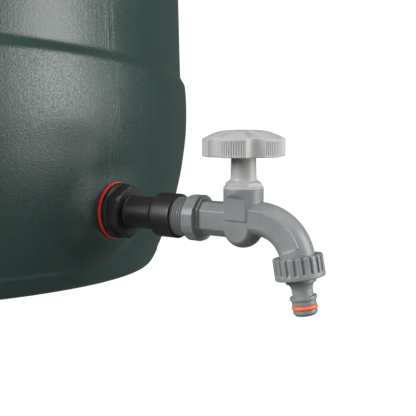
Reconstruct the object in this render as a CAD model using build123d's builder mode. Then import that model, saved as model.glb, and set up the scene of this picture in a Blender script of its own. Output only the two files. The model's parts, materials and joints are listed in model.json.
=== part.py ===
from build123d import *

import os
from math import cos, radians, sin, sqrt

# A 150 litre blow-moulded rain barrel with a push-on lid and a plastic bib tap near its foot.
# Millimetres. The origin is the middle of the standing surface, +Z is up and +X points to the tap.

# Barrel
WALL = 3.0
BAND_R = 259.0  # widest radius, at the middle of the bottom and top bands
BAND_Z = 143.5
BAND_ARC = 292.0  # radius of the bands' upright curve
STEP_LOW_Z = 169.0
STEP_HIGH_Z = 175.5
DRUM_R = 254.1  # the drum between the bands, at its ends
WAIST_R = 251.0  # the same at half height
MIDDLE_Z = 405.5
SHOULDER_Z = 753.5
NECK_R = 229.0
NECK_FOOT_Z = 763.5
RIM_R = 231.5
RIM_Z = 797.5
RIM_HEIGHT = 5.0
FOOT_Z = 5.5  # height of the band's foot over the standing ring
FOOT_CORNER = 12.0
STAND_OUT_R = 186.0
STAND_IN_R = 172.0
DISH_R = 160.0
DISH_HEIGHT = 10.0

# Lid
LID_WALL = 3.0
LID_R = 238.0
LID_SKIRT_Z = 773.5
LID_PLUG_R = 223.5
LID_PLUG_Z = 785.5
LID_CROWN_R = 196.0
LID_CROWN_HEIGHT = 9.0
LID_GRIPS = 4
LID_GRIP_SIZE = (70.0, 24.0, 12.0)

# Tap frame: origin at the front face of the tank connector's flange, on the tap's axis
TAP_REACH = 256.8
TAP_HEIGHT = 64.1
TAP_DROOP = 2.3  # degrees
TAP_ROLL = 4.0  # degrees, as the tap was screwed in
PAD_FACE = -5.5  # the barrel's flat pad, along the tap's axis
PAD_R = 23.5
PAD_DRAFT = 45.0  # degrees

# Tank connector and extension
HOLE_R = 13.4
FLANGE_R = 19.8
FLANGE_BACK = -2.7
OUTLET_SEAL_R = 20.3
CONNECTOR_HEX = 33.4
CONNECTOR_HEX_LENGTH = 9.0
TAIL_END = -29.0
TAIL_CREST = 13.1
THREAD_DEPTH = 1.1
PITCH = 1.814
INNER_SEAL_R = 19.5
INNER_SEAL_END = -13.0
LOCK_NUT_END = -21.5
LOCK_NUT_HEX = 36.0
CONNECTOR_BORE = 8.0
SPIGOT_R = 9.9
SPIGOT_START = -4.0
TUBE_R = 11.2
TUBE_END = 32.2
SOCKET_START = 35.2
SOCKET_END = 50.5
SOCKET_R = 15.0
SOCKET_BORE = 13.35
SOCKET_FLOOR = 38.5
INLET_WASHER_END = 40.5

# Tap body
INLET_CREST = 13.15
COLLAR_START = 60.7
COLLAR_END = 69.3
COLLAR_FLATS = 29.9
COLLAR_R = 15.4  # the octagon's corners are rounded off to this
BOSS_LENGTH = 1.9
TUBE_RISE = 0.5
TUBE_HEIGHT = 21.7
TUBE_WIDTH = 19.2
TUBE_CHAMFER = 5.0
CHAMBER_L = 99.0  # the spindle's place along the tap
CHAMBER_R = 12.75
CHAMBER_TOP = 21.2
CHAMBER_BALL = -3.9  # height of the round bottom's centre
CHAMBER_FLAT = 10.85  # the side flats, from the chamber's middle
CHAMBER_FLAT_TOP = 15.6
CHAMBER_FLAT_RUN_OUT = 34.0  # degrees
CHAMBER_FLAT_LOW = 9.85  # their deeper part, below the step
CHAMBER_FLAT_STEP = 1.6
CHAMBER_BORE = 9.2
SEAT_FLOOR = 6.0
SEAT_TOP = 7.5
SEAT_HOLE = 4.5
WATERWAY_R = 5.5
SPOUT_START = 110.6
SPOUT_HEIGHT = 2.5
SPOUT_BEND = 26.8
SPOUT_TURN = 80.0  # degrees
SPOUT_R = 10.85
SPOUT_WIDTH = 19.4  # across the flat side panels
SPOUT_FLAT_LOW = -4.7  # the panels' inner and outer edges, from the spout's middle
SPOUT_FLAT_HIGH = 6.6
SPOUT_FLAT_TURN = 68.0
SPOUT_BORE = 6.5

# Outlet, measured down its own axis from the end of the spout's bend
OUTLET_THREAD_END = 7.3
OUTLET_CREST = 10.4
OUTLET_WASHER_END = 9.3
NUT_TOP = -1.5
NUT_BOTTOM = 12.0
NUT_LIP = 10.8
NUT_R = 15.5
NUT_CREST = 10.75
NUT_GROOVES = 20
NUT_GROOVE_DEPTH = 1.2
NUT_GROOVE_WIDTH = 2.2
NUT_BAND = 2.7
NOSE_FLANGE_R = 10.6
NOSE_COLLAR_R = 9.4
NOSE_COLLAR_END = 14.9
NOSE_NECK_R = 6.5
NOSE_NECK_START = 19.6
NOSE_RING_START = 23.1
NOSE_RING_END = 25.3
NOSE_RING_R = 8.35
NOSE_TIP_R = 7.5
NOSE_GROOVE_START = 28.6
NOSE_GROOVE_END = 31.4
NOSE_GROOVE_R = 6.2
NOSE_O_RING_R = 8.05
NOSE_END = 35.0
NOSE_BORE = 4.5

# Bonnet, spindle and valve, measured up the spindle's axis from the tap's axis
BONNET_FOOT = 13.5
BONNET_PLUG_R = 9.1
BONNET_PLUG_BORE = 7.6
BONNET_FLANGE_R = 12.8
BONNET_FLANGE_EDGE = 21.9
BONNET_FLANGE_TOP = 22.5
BONNET_HEX = 21.4
BONNET_TURN = 9.0  # direction of one corner, from the tap's axis
BONNET_HEX_TOP = 24.7
BONNET_NECK_START = 26.9
BONNET_NECK_R = 8.2
BONNET_NECK_TOP_R = 7.8
BONNET_TOP = 43.2
BONNET_THREAD_R = 5.2
BONNET_THREAD_TOP = 32.5
BONNET_BORE = 4.05
BONNET_SEAL_R = 10.3
BONNET_SEAL_FOOT = 19.7
SPINDLE_FOOT_R = 4.4
SPINDLE_THREAD_START = 16.0
SPINDLE_THREAD_END = 28.0
SPINDLE_THREAD_R = 5.05
SPINDLE_R = 3.85
SPINDLE_RINGS = (34.0, 37.6)
SPINDLE_RING_WIDTH = 1.8
SPINDLE_RING_ROOT = 2.7
SPINDLE_RING_R = 4.0
SPINDLE_SHOULDER = 43.6
SPINDLE_TOP = 51.5
SPINDLE_SQUARE = 5.2
JUMPER_R = 7.0
JUMPER_FOOT = 10.5
JUMPER_TOP = 13.5
JUMPER_PIN_R = 2.4
JUMPER_PIN_TOP = 16.5
JUMPER_HOLE = 1.7
SCREW_HEAD_R = 3.6
SCREW_HEAD_FOOT = 5.7
SCREW_SHANK_R = 1.6
SCREW_TOP = 12.5

# Handwheel
WHEEL_R = 26.1
WHEEL_FOOT = 41.6
WHEEL_EDGE = 52.5
WHEEL_TOP = 58.0
WHEEL_HOLLOW_R = 21.5
WHEEL_HOLLOW_TOP = 50.5
WHEEL_HUB_R = 6.5
WHEEL_LOBES = 6
WHEEL_TURN = -44.7  # direction of one scallop, from the tap's axis
WHEEL_DOME = ((0, 5.4), (6.0, 5.45), (12.4, 5.2), (15.6, 4.6), (19.8, 3.1), (23.9, 1.15), (26.1, 0))
SCALLOP_R = 8.5
SCALLOP_DEPTH = 3.0

droop = radians(TAP_DROOP)
ALONG = Vector(cos(droop), 0, -sin(droop))
roll = radians(TAP_ROLL)
SIDE = Vector(sin(droop) * sin(roll), cos(roll), cos(droop) * sin(roll))
UP = ALONG.cross(SIDE)
TAP_ORIGIN = Vector(TAP_REACH, 0, TAP_HEIGHT)
TAP_PROFILE = Plane(origin=TAP_ORIGIN, x_dir=ALONG, z_dir=SIDE * -1)
TAP_AXIS = Axis(TAP_ORIGIN, ALONG)
SPINDLE_ORIGIN = TAP_ORIGIN + ALONG * CHAMBER_L
SPINDLE_PROFILE = Plane(origin=SPINDLE_ORIGIN, x_dir=ALONG, z_dir=SIDE * -1)
SPINDLE_AXIS = Axis(SPINDLE_ORIGIN, UP)

turn = radians(SPOUT_TURN)
BEND_CENTRE = TAP_PROFILE.from_local_coords((SPOUT_START, SPOUT_HEIGHT - SPOUT_BEND, 0))
BEND_AXIS = Axis(BEND_CENTRE, SIDE)
OUTLET_ORIGIN = BEND_CENTRE + ALONG * (SPOUT_BEND * sin(turn)) + UP * (SPOUT_BEND * cos(turn))
OUTLET_DOWN = ALONG * cos(turn) - UP * sin(turn)
OUTLET_PROFILE = Plane(origin=OUTLET_ORIGIN, x_dir=OUTLET_DOWN.cross(SIDE), z_dir=SIDE)
OUTLET_AXIS = Axis(OUTLET_ORIGIN, OUTLET_DOWN)


def across_tap(along, height=0):
    """A plane square to the tap's axis, its x sideways and its y up."""
    origin = TAP_ORIGIN + ALONG * along + UP * height
    return Plane(origin=origin, x_dir=SIDE, z_dir=ALONG)


def across_spindle(height):
    """A plane square to the spindle, its x along the tap."""
    return Plane(origin=SPINDLE_ORIGIN + UP * height, x_dir=ALONG, z_dir=UP)


def across_outlet(down):
    """A plane square to the outlet, looking down it."""
    return Plane(origin=OUTLET_ORIGIN + OUTLET_DOWN * down, x_dir=OUTLET_PROFILE.x_dir, z_dir=OUTLET_DOWN)


def across_bend(angle):
    """A plane square to the spout after it has turned by an angle, its y away from the bend's centre."""
    bend = radians(angle)
    outward = ALONG * sin(bend) + UP * cos(bend)
    forward = ALONG * cos(bend) - UP * sin(bend)
    return Plane(origin=BEND_CENTRE + outward * SPOUT_BEND, x_dir=SIDE, z_dir=forward)


def spout_outline():
    """The spout's section: round, with a flat panel on each side whose outer edge stands proud."""
    Circle(SPOUT_R)
    with Locations((0, (SPOUT_FLAT_LOW + SPOUT_FLAT_HIGH) / 2)):
        Rectangle(SPOUT_WIDTH, SPOUT_FLAT_HIGH - SPOUT_FLAT_LOW)
    Rectangle(SPOUT_WIDTH, 3 * SPOUT_R, mode=Mode.INTERSECT)


def turned(plane, axis, points, mode=Mode.ADD):
    """A full turn of the closed outline through the points."""
    with BuildSketch(plane) as section:
        with BuildLine():
            Polyline(*points, close=True)
        make_face()
    revolve(section.sketch, axis=axis, mode=mode)


def ring(plane, axis, start, end, inner, outer, mode=Mode.ADD):
    """A plain ring or, with no inner radius, a disc. The plane's x is the axis if the axis is the tap's."""
    if axis is TAP_AXIS:
        points = [(start, inner), (end, inner), (end, outer), (start, outer)]
    else:
        points = [(inner, start), (inner, end), (outer, end), (outer, start)]
    turned(plane, axis, points, mode)


def thread(start, end, root, crest):
    """The zigzag of a thread's ridges from start to end, as places along the axis and radii."""
    count = int((end - start) / PITCH)
    points = []
    for i in range(count):
        points.append((start + i * PITCH, root))
        points.append((start + (i + 0.5) * PITCH, crest))
    points.append((start + count * PITCH, root))
    return points


def band_r(height, inset):
    """The radius of the bottom band's curve at a height, or of its inside."""
    return BAND_R - BAND_ARC + sqrt((BAND_ARC - inset) ** 2 - (height - BAND_Z) ** 2)


def barrel_outline(inset, top):
    """Half the barrel's section, from the axis under the dish to the axis at the top."""
    upper_band_z = 2 * MIDDLE_Z - BAND_Z
    step_high = 2 * MIDDLE_Z - STEP_HIGH_Z
    step_low = 2 * MIDDLE_Z - STEP_LOW_Z
    shoulder_mirror = 2 * MIDDLE_Z - SHOULDER_Z
    foot_z = FOOT_Z + inset
    foot = (band_r(foot_z, inset), foot_z)
    low_step = (band_r(STEP_LOW_Z, inset), STEP_LOW_Z)
    high_step = (DRUM_R - inset, STEP_HIGH_Z)
    drum_top = (DRUM_R - inset, step_high)
    band_bottom = (band_r(STEP_LOW_Z, inset), step_low)
    shoulder = (band_r(shoulder_mirror, inset), SHOULDER_Z)
    dish = (DISH_R, DISH_HEIGHT + inset)
    stand = [(STAND_IN_R, inset), (STAND_OUT_R, inset), (STAND_OUT_R + 6, foot_z)]
    Polyline((0, DISH_HEIGHT + inset), dish, *stand, foot)
    ThreePointArc(foot, (BAND_R - inset, BAND_Z), low_step)
    Line(low_step, high_step)
    ThreePointArc(high_step, (WAIST_R - inset, MIDDLE_Z), drum_top)
    Line(drum_top, band_bottom)
    ThreePointArc(band_bottom, (BAND_R - inset, upper_band_z), shoulder)
    neck_foot = (NECK_R - inset, NECK_FOOT_Z - inset / 2)
    Polyline(shoulder, neck_foot, (NECK_R - inset, top), (0, top), (0, DISH_HEIGHT + inset))


def round_corner(sketch, corner, radius):
    """Round the corner of a sketch nearest to a point."""
    fillet(sketch.vertices().sort_by_distance(corner)[0], radius=radius)


# Barrel body
with BuildPart() as barrel_inside:
    with BuildSketch(Plane.XZ) as inside_section:
        with BuildLine():
            barrel_outline(WALL, RIM_Z + 10)
        make_face()
        round_corner(inside_section, (band_r(FOOT_Z + WALL, WALL), FOOT_Z + WALL), FOOT_CORNER - WALL)
        round_corner(inside_section, (band_r(2 * MIDDLE_Z - SHOULDER_Z, WALL), SHOULDER_Z), 15)
    revolve(axis=Axis.Z)
    with BuildSketch(across_tap(PAD_FACE - WALL - 0.5)):
        Circle(PAD_R + WALL + 0.5)
    extrude(amount=40, mode=Mode.SUBTRACT)
    with BuildSketch(across_tap(PAD_FACE - WALL - 0.5)):
        Circle(PAD_R - WALL)
    extrude(amount=-40)

with BuildPart() as barrel_body:
    with BuildSketch(Plane.XZ) as barrel_section:
        with BuildLine():
            barrel_outline(0, RIM_Z)
        make_face()
        round_corner(barrel_section, (band_r(FOOT_Z, 0), FOOT_Z), FOOT_CORNER)
        round_corner(barrel_section, (band_r(2 * MIDDLE_Z - SHOULDER_Z, 0), SHOULDER_Z), 18)
        round_corner(barrel_section, (DRUM_R, STEP_HIGH_Z), 3)
        round_corner(barrel_section, (band_r(STEP_LOW_Z, 0), STEP_LOW_Z), 3)
        round_corner(barrel_section, (DRUM_R, 2 * MIDDLE_Z - STEP_HIGH_Z), 3)
        round_corner(barrel_section, (band_r(STEP_LOW_Z, 0), 2 * MIDDLE_Z - STEP_LOW_Z), 3)
    revolve(axis=Axis.Z)
    ring(Plane.XZ, Axis.Z, RIM_Z - RIM_HEIGHT, RIM_Z, NECK_R - 1, RIM_R)
    with BuildSketch(across_tap(PAD_FACE)):
        Circle(PAD_R)
    extrude(amount=-30, taper=-PAD_DRAFT)
    with BuildSketch(across_tap(PAD_FACE)):
        Circle(PAD_R)
    extrude(amount=30, taper=-PAD_DRAFT, mode=Mode.SUBTRACT)
    add(barrel_inside.part, mode=Mode.SUBTRACT)
    ring(TAP_PROFILE, TAP_AXIS, PAD_FACE - 20, PAD_FACE + 20, 0, HOLE_R, mode=Mode.SUBTRACT)

# Lid
with BuildPart() as lid:
    crown_z = RIM_Z + LID_CROWN_HEIGHT
    turned(
        Plane.XZ,
        Axis.Z,
        [
            (0, crown_z),
            (LID_CROWN_R - LID_WALL, crown_z),
            (LID_CROWN_R + 3, RIM_Z),
            (LID_PLUG_R - LID_WALL, RIM_Z),
            (LID_PLUG_R - LID_WALL, LID_PLUG_Z),
            (LID_PLUG_R, LID_PLUG_Z),
            (LID_PLUG_R, RIM_Z),
            (LID_R - LID_WALL, RIM_Z),
            (LID_R - LID_WALL, LID_SKIRT_Z),
            (LID_R, LID_SKIRT_Z),
            (LID_R, RIM_Z + LID_WALL - 1),
            (LID_R - 1, RIM_Z + LID_WALL),
            (LID_CROWN_R + 6, RIM_Z + LID_WALL),
            (LID_CROWN_R, crown_z + LID_WALL),
            (0, crown_z + LID_WALL),
        ],
    )
    grip_length, grip_width, grip_height = LID_GRIP_SIZE
    with BuildSketch(Plane.XY.offset(LID_SKIRT_Z)) as grip_sketch:
        with PolarLocations(LID_R - grip_width / 2 + 10, LID_GRIPS, start_angle=45):
            SlotOverall(grip_length, grip_width, rotation=90)
        Circle(LID_R - LID_WALL / 2, mode=Mode.SUBTRACT)
    extrude(amount=grip_height)

# Sealing washers and the lock nut at the barrel's wall
pad_back = PAD_FACE - WALL - 0.5
with BuildPart() as outlet_seal:
    ring(TAP_PROFILE, TAP_AXIS, PAD_FACE, FLANGE_BACK, HOLE_R - 0.1, OUTLET_SEAL_R)

with BuildPart() as inner_seal:
    ring(TAP_PROFILE, TAP_AXIS, INNER_SEAL_END, pad_back, HOLE_R - 0.1, INNER_SEAL_R)

with BuildPart() as lock_nut:
    with BuildSketch(across_tap(LOCK_NUT_END)):
        RegularPolygon(LOCK_NUT_HEX / 2, 6, major_radius=False)
        Circle(TAIL_CREST + 0.15, mode=Mode.SUBTRACT)
    extrude(amount=INNER_SEAL_END - LOCK_NUT_END)

# Tank connector: threaded tail through the wall, flange and hexagon outside
with BuildPart() as tank_connector:
    tail_ridges = thread(TAIL_END, PAD_FACE, TAIL_CREST - THREAD_DEPTH, TAIL_CREST)
    turned(
        TAP_PROFILE,
        TAP_AXIS,
        [
            *tail_ridges,
            (FLANGE_BACK, TAIL_CREST - THREAD_DEPTH),
            (FLANGE_BACK, FLANGE_R - 0.6),
            (FLANGE_BACK + 0.6, FLANGE_R),
            (-1.2, FLANGE_R),
            (0, FLANGE_R - 1.2),
            (0, CONNECTOR_BORE),
            (TAIL_END, CONNECTOR_BORE),
        ],
    )
    with BuildSketch(across_tap(0)):
        RegularPolygon(CONNECTOR_HEX / 2, 6, major_radius=False, rotation=30 - TAP_ROLL)
    extrude(amount=CONNECTOR_HEX_LENGTH)
    ring(TAP_PROFILE, TAP_AXIS, SPIGOT_START, CONNECTOR_HEX_LENGTH, 0, SPIGOT_R + 0.1, mode=Mode.SUBTRACT)

# Extension: a tube whose spigot plugs into the connector, with a female thread for the tap
with BuildPart() as extension_socket:
    turned(
        TAP_PROFILE,
        TAP_AXIS,
        [
            (SPIGOT_START, CONNECTOR_BORE),
            (SOCKET_FLOOR, CONNECTOR_BORE),
            (SOCKET_FLOOR, SOCKET_BORE),
            (SOCKET_END, SOCKET_BORE),
            (SOCKET_END, SOCKET_R - 0.5),
            (SOCKET_END - 0.5, SOCKET_R),
            (SOCKET_START, SOCKET_R),
            (TUBE_END, TUBE_R),
            (CONNECTOR_HEX_LENGTH + 1.3, TUBE_R),
            (CONNECTOR_HEX_LENGTH + 1.3, TUBE_R + 0.8),
            (CONNECTOR_HEX_LENGTH, TUBE_R + 0.8),
            (CONNECTOR_HEX_LENGTH, SPIGOT_R),
            (SPIGOT_START, SPIGOT_R),
        ],
    )
    ring(TAP_PROFILE, TAP_AXIS, 1, 3, SPIGOT_R - 1.2, SPIGOT_R + 1, mode=Mode.SUBTRACT)

with BuildPart() as extension_o_ring:
    ring(TAP_PROFILE, TAP_AXIS, 1.1, 2.9, SPIGOT_R - 1.1, SPIGOT_R + 0.05)

with BuildPart() as inlet_washer:
    ring(TAP_PROFILE, TAP_AXIS, SOCKET_FLOOR, INLET_WASHER_END, CONNECTOR_BORE, SOCKET_BORE - 0.2)

# Tap body
with BuildPart() as tap_body:
    inlet_ridges = thread(INLET_WASHER_END, COLLAR_START, INLET_CREST - THREAD_DEPTH, INLET_CREST)
    turned(
        TAP_PROFILE,
        TAP_AXIS,
        [
            *inlet_ridges,
            (COLLAR_START, INLET_CREST - THREAD_DEPTH),
            (COLLAR_START, 0),
            (INLET_WASHER_END, 0),
        ],
    )
    with BuildSketch(across_tap(COLLAR_START)):
        RegularPolygon(COLLAR_FLATS / 2, 8, major_radius=False, rotation=22.5)
        Circle(COLLAR_R, mode=Mode.INTERSECT)
    extrude(amount=COLLAR_END - COLLAR_START)
    with BuildSketch(across_tap(COLLAR_END, TUBE_RISE)) as boss:
        Rectangle(TUBE_WIDTH + 3, TUBE_HEIGHT + 3)
        chamfer(boss.vertices(), length=TUBE_CHAMFER + 1)
    extrude(amount=BOSS_LENGTH)
    with BuildSketch(across_tap(COLLAR_END, TUBE_RISE)) as square:
        Rectangle(TUBE_WIDTH, TUBE_HEIGHT)
        chamfer(square.vertices(), length=TUBE_CHAMFER)
    extrude(amount=CHAMBER_L - COLLAR_END)
    ring(SPINDLE_PROFILE, SPINDLE_AXIS, CHAMBER_BALL, CHAMBER_TOP, 0, CHAMBER_R)
    with BuildSketch(SPINDLE_PROFILE):
        with Locations((0, CHAMBER_BALL)):
            Circle(CHAMBER_R)
            Rectangle(4 * CHAMBER_R, 4 * CHAMBER_R, align=(Align.CENTER, Align.MIN), mode=Mode.SUBTRACT)
            Rectangle(4 * CHAMBER_R, 4 * CHAMBER_R, align=(Align.MAX, Align.CENTER), mode=Mode.SUBTRACT)
    revolve(axis=SPINDLE_AXIS)
    for side in (-1, 1):
        with BuildSketch(across_spindle(CHAMBER_FLAT_TOP)):
            with Locations((0, side * (CHAMBER_FLAT + 5))):
                Rectangle(2 * CHAMBER_R, 10)
        extrude(amount=-40, mode=Mode.SUBTRACT)
        with BuildSketch(across_spindle(CHAMBER_FLAT_TOP)):
            with Locations((0, side * (CHAMBER_FLAT + 5))):
                Rectangle(2 * CHAMBER_R, 10)
        extrude(amount=4, taper=CHAMBER_FLAT_RUN_OUT, mode=Mode.SUBTRACT)
        with BuildSketch(across_spindle(CHAMBER_FLAT_STEP)):
            with Locations((0, side * (CHAMBER_FLAT_LOW + 5))):
                Rectangle(2 * CHAMBER_R, 10)
        extrude(amount=-40, mode=Mode.SUBTRACT)
    with BuildSketch(across_tap(CHAMBER_L, SPOUT_HEIGHT)):
        spout_outline()
    extrude(amount=SPOUT_START - CHAMBER_L)
    with BuildSketch(across_bend(0)):
        spout_outline()
    revolve(axis=BEND_AXIS, revolution_arc=SPOUT_FLAT_TURN)
    with BuildSketch(across_bend(SPOUT_FLAT_TURN)):
        Circle(SPOUT_R)
    revolve(axis=BEND_AXIS, revolution_arc=SPOUT_TURN - SPOUT_FLAT_TURN)
    ring(OUTLET_PROFILE, OUTLET_AXIS, 0, 0.6, 0, SPOUT_R)
    outlet_ridges = thread(0.6, OUTLET_THREAD_END, OUTLET_CREST - 0.9, OUTLET_CREST)
    turned(
        OUTLET_PROFILE,
        OUTLET_AXIS,
        [
            (0, 0.5),
            (OUTLET_CREST - 0.9, 0.5),
            *[(radius, down) for down, radius in outlet_ridges],
            (OUTLET_CREST - 0.9, OUTLET_THREAD_END),
            (0, OUTLET_THREAD_END),
        ],
    )
    # Waterway: inlet, chamber under the seat, seat hole, chamber over it, spout
    ring(TAP_PROFILE, TAP_AXIS, INLET_WASHER_END, COLLAR_START, 0, CONNECTOR_BORE, mode=Mode.SUBTRACT)
    with BuildSketch(across_tap(COLLAR_START - 1, -2)):
        Circle(WATERWAY_R)
    extrude(amount=CHAMBER_L - COLLAR_START - 1, mode=Mode.SUBTRACT)
    ring(SPINDLE_PROFILE, SPINDLE_AXIS, -8.5, SEAT_FLOOR - 2, 0, SEAT_HOLE + 1.5, mode=Mode.SUBTRACT)
    ring(SPINDLE_PROFILE, SPINDLE_AXIS, SEAT_FLOOR, CHAMBER_TOP, 0, CHAMBER_BORE, mode=Mode.SUBTRACT)
    ring(SPINDLE_PROFILE, SPINDLE_AXIS, BONNET_SEAL_FOOT, CHAMBER_TOP, 0, BONNET_SEAL_R, mode=Mode.SUBTRACT)
    ring(SPINDLE_PROFILE, SPINDLE_AXIS, SEAT_FLOOR - 1, SEAT_TOP, SEAT_HOLE, SEAT_HOLE + 1.4)
    ring(SPINDLE_PROFILE, SPINDLE_AXIS, 0, SEAT_TOP, 0, SEAT_HOLE, mode=Mode.SUBTRACT)
    with BuildSketch(across_tap(CHAMBER_L + CHAMBER_BORE - 1.5, SPOUT_HEIGHT)):
        Circle(SPOUT_BORE)
    extrude(amount=SPOUT_START - CHAMBER_L - CHAMBER_BORE + 1.5, mode=Mode.SUBTRACT)
    with BuildSketch(across_bend(0)):
        Circle(SPOUT_BORE)
    revolve(axis=BEND_AXIS, revolution_arc=SPOUT_TURN, mode=Mode.SUBTRACT)
    ring(OUTLET_PROFILE, OUTLET_AXIS, 0, OUTLET_THREAD_END, 0, SPOUT_BORE, mode=Mode.SUBTRACT)

# Bonnet and its seal
with BuildPart() as bonnet:
    turned(
        SPINDLE_PROFILE,
        SPINDLE_AXIS,
        [
            (BONNET_PLUG_BORE, BONNET_FOOT),
            (BONNET_PLUG_R, BONNET_FOOT),
            (BONNET_PLUG_R, CHAMBER_TOP),
            (BONNET_FLANGE_R, CHAMBER_TOP),
            (BONNET_FLANGE_R, BONNET_FLANGE_EDGE),
            (BONNET_HEX / 2 - 0.3, BONNET_FLANGE_TOP),
            (BONNET_HEX / 2 - 0.3, BONNET_HEX_TOP),
            (BONNET_NECK_R, BONNET_NECK_START),
            (BONNET_NECK_TOP_R, BONNET_TOP),
            (BONNET_BORE, BONNET_TOP),
            (BONNET_BORE, BONNET_THREAD_TOP),
            (BONNET_THREAD_R, BONNET_THREAD_TOP),
            (BONNET_THREAD_R, BONNET_FLANGE_TOP),
            (BONNET_PLUG_BORE, CHAMBER_TOP - 0.5),
        ],
    )
    with BuildSketch(across_spindle(BONNET_FLANGE_TOP)):
        RegularPolygon(BONNET_HEX / 2, 6, major_radius=False, rotation=BONNET_TURN)
        Circle(BONNET_NECK_R - 1, mode=Mode.SUBTRACT)
    extrude(amount=BONNET_HEX_TOP - BONNET_FLANGE_TOP)

with BuildPart() as bonnet_seal:
    ring(SPINDLE_PROFILE, SPINDLE_AXIS, BONNET_SEAL_FOOT, CHAMBER_TOP, BONNET_PLUG_R + 0.05, BONNET_SEAL_R - 0.05)

# Spindle and its two O-rings
with BuildPart() as spindle:
    spindle_ridges = thread(
        SPINDLE_THREAD_START, SPINDLE_THREAD_END, SPINDLE_FOOT_R, SPINDLE_THREAD_R
    )
    turned(
        SPINDLE_PROFILE,
        SPINDLE_AXIS,
        [
            (0, JUMPER_TOP),
            (SPINDLE_FOOT_R, JUMPER_TOP),
            *[(radius, height) for height, radius in spindle_ridges],
            (SPINDLE_R, SPINDLE_THREAD_END + 0.5),
            (SPINDLE_R, SPINDLE_SHOULDER),
            (0, SPINDLE_SHOULDER),
        ],
    )
    ring(
        SPINDLE_PROFILE, SPINDLE_AXIS, JUMPER_TOP, JUMPER_PIN_TOP + 0.3, 0, JUMPER_PIN_R + 0.1,
        mode=Mode.SUBTRACT,
    )
    for height in SPINDLE_RINGS:
        ring(
            SPINDLE_PROFILE, SPINDLE_AXIS, height, height + SPINDLE_RING_WIDTH, SPINDLE_RING_ROOT, SPINDLE_R + 1,
            mode=Mode.SUBTRACT,
        )
    with BuildSketch(across_spindle(SPINDLE_SHOULDER)):
        Rectangle(SPINDLE_SQUARE, SPINDLE_SQUARE)
    extrude(amount=SPINDLE_TOP - SPINDLE_SHOULDER)

with BuildPart() as spindle_o_rings:
    for height in SPINDLE_RINGS:
        ring(
            SPINDLE_PROFILE, SPINDLE_AXIS, height + 0.05, height + SPINDLE_RING_WIDTH - 0.05,
            SPINDLE_RING_ROOT + 0.05, SPINDLE_RING_R,
        )

# Valve: jumper, rubber washer and the screw that holds it
with BuildPart() as jumper:
    ring(SPINDLE_PROFILE, SPINDLE_AXIS, JUMPER_FOOT, JUMPER_TOP, 0, JUMPER_R)
    ring(SPINDLE_PROFILE, SPINDLE_AXIS, JUMPER_TOP, JUMPER_PIN_TOP, 0, JUMPER_PIN_R)
    ring(SPINDLE_PROFILE, SPINDLE_AXIS, JUMPER_FOOT, SCREW_TOP + 0.5, 0, JUMPER_HOLE, mode=Mode.SUBTRACT)

with BuildPart() as valve_washer:
    ring(SPINDLE_PROFILE, SPINDLE_AXIS, SEAT_TOP, JUMPER_FOOT, JUMPER_HOLE, JUMPER_R)

with BuildPart() as washer_screw:
    ring(SPINDLE_PROFILE, SPINDLE_AXIS, SCREW_HEAD_FOOT, SEAT_TOP, 0, SCREW_HEAD_R)
    ring(SPINDLE_PROFILE, SPINDLE_AXIS, SEAT_TOP, SCREW_TOP, 0, SCREW_SHANK_R)

# Handwheel: domed, hollow underneath, with six grip lobes
with BuildPart() as handwheel:
    with BuildSketch(SPINDLE_PROFILE):
        with BuildLine():
            dome = [(radius, WHEEL_EDGE + rise) for radius, rise in WHEEL_DOME]
            Spline(*dome)
            Polyline(dome[-1], (WHEEL_R, WHEEL_FOOT), (0, WHEEL_FOOT), dome[0])
        make_face()
    revolve(axis=SPINDLE_AXIS)
    scallop_centre = WHEEL_R - SCALLOP_DEPTH + SCALLOP_R
    with BuildSketch(across_spindle(WHEEL_FOOT)):
        with PolarLocations(scallop_centre, WHEEL_LOBES, start_angle=WHEEL_TURN):
            Circle(SCALLOP_R)
    extrude(amount=WHEEL_TOP - WHEEL_FOOT, mode=Mode.SUBTRACT)
    ring(
        SPINDLE_PROFILE, SPINDLE_AXIS, WHEEL_FOOT, WHEEL_HOLLOW_TOP, WHEEL_HUB_R, WHEEL_HOLLOW_R,
        mode=Mode.SUBTRACT,
    )
    ring(
        SPINDLE_PROFILE, SPINDLE_AXIS, WHEEL_FOOT, SPINDLE_SHOULDER, 0, WHEEL_HUB_R + 1, mode=Mode.SUBTRACT
    )
    with BuildSketch(across_spindle(SPINDLE_SHOULDER)):
        Rectangle(SPINDLE_SQUARE + 0.05, SPINDLE_SQUARE + 0.05)
    extrude(amount=SPINDLE_TOP - SPINDLE_SHOULDER + 0.3, mode=Mode.SUBTRACT)

# Ring nut with its grip grooves
with BuildPart() as ring_nut:
    turned(
        OUTLET_PROFILE,
        OUTLET_AXIS,
        [
            (NUT_R - 0.5, NUT_TOP),
            (NUT_R, NUT_TOP + 0.5),
            (NUT_R, NUT_BOTTOM - 0.5),
            (NUT_R - 0.5, NUT_BOTTOM),
            (NOSE_COLLAR_R + 0.2, NUT_BOTTOM),
            (NOSE_COLLAR_R + 0.2, NUT_LIP),
            (NOSE_FLANGE_R + 0.3, NUT_LIP),
            (NOSE_FLANGE_R + 0.3, OUTLET_THREAD_END),
            *[(2 * NUT_CREST + 0.6 - radius, down) for down, radius in reversed(
                thread(1.5, OUTLET_THREAD_END, NUT_CREST, NUT_CREST + 0.6))],
            (SPOUT_R + 0.45, 1.0),
            (SPOUT_R + 0.45, NUT_TOP),
        ],
    )
    with BuildSketch(across_outlet(NUT_TOP)):
        with PolarLocations(NUT_R, NUT_GROOVES):
            Rectangle(2 * NUT_GROOVE_DEPTH, NUT_GROOVE_WIDTH)
    extrude(amount=NUT_BOTTOM - NUT_TOP - NUT_BAND, mode=Mode.SUBTRACT)

# Hose nose, the flat washer over it and the O-ring near its tip
with BuildPart() as outlet_washer:
    ring(OUTLET_PROFILE, OUTLET_AXIS, OUTLET_THREAD_END, OUTLET_WASHER_END, SPOUT_BORE, NOSE_FLANGE_R - 0.4)

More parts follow.
